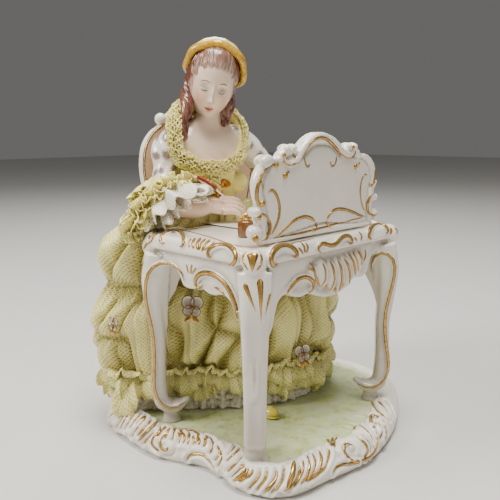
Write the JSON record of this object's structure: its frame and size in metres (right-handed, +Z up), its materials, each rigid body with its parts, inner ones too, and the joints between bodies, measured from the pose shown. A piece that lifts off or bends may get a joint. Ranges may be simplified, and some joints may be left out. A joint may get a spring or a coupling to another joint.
{
  "type": "porcelain lace figurine",
  "caption": "Porcelain lady in a yellow lace dress, writing at a scrolled rococo desk on a scrolled base.",
  "frame": {"origin": "centre of the base's flat underside", "axes": "+Z up; +X along the desk's long side, towards the lady's left hand; the lady faces -Y"},
  "size_m": [0.1329, 0.1314, 0.1734],
  "materials": {
    "porcelain_desk": "white glaze with painted gold scrolls",
    "porcelain_base": "white glaze with gold scrolls and a mottled green ground",
    "porcelain_chair": "white glaze with a peach panel and gold lines",
    "porcelain_lady": "painted and glazed, pale skin and a sprigged white sleeve",
    "lace_yellow": "pale yellow porcelain lace",
    "lace_white": "white porcelain lace",
    "bow_amber": "glossy amber glaze",
    "quill_red": "glossy red-orange glaze",
    "inkwell_gold": "gold and dark brown glaze",
    "letter_white": "white glaze",
    "shoe_yellow": "yellow glaze",
    "flower_white": "white glaze with brown and gold edges"
  },
  "bodies": {
    "root": {"base": "porcelain_base", "writing_desk": "porcelain_desk", "desk_gallery": "porcelain_desk", "chair": "porcelain_chair", "lady": "porcelain_lady", "overskirt": "lace_yellow", "petticoat": "lace_white", "hem_flounce": "lace_yellow", "lace_collar": "lace_yellow", "right_cuff_yellow": "lace_yellow", "right_cuff_white": "lace_white", "left_cuff": "lace_yellow", "waist_bow": "bow_amber", "quill": "quill_red", "inkwell": "inkwell_gold", "letter": "letter_white", "shoe": "shoe_yellow", "skirt_flower_1": "flower_white", "skirt_flower_2": "flower_white", "skirt_flower_3": "flower_white"}
  },
  "joints": []
}
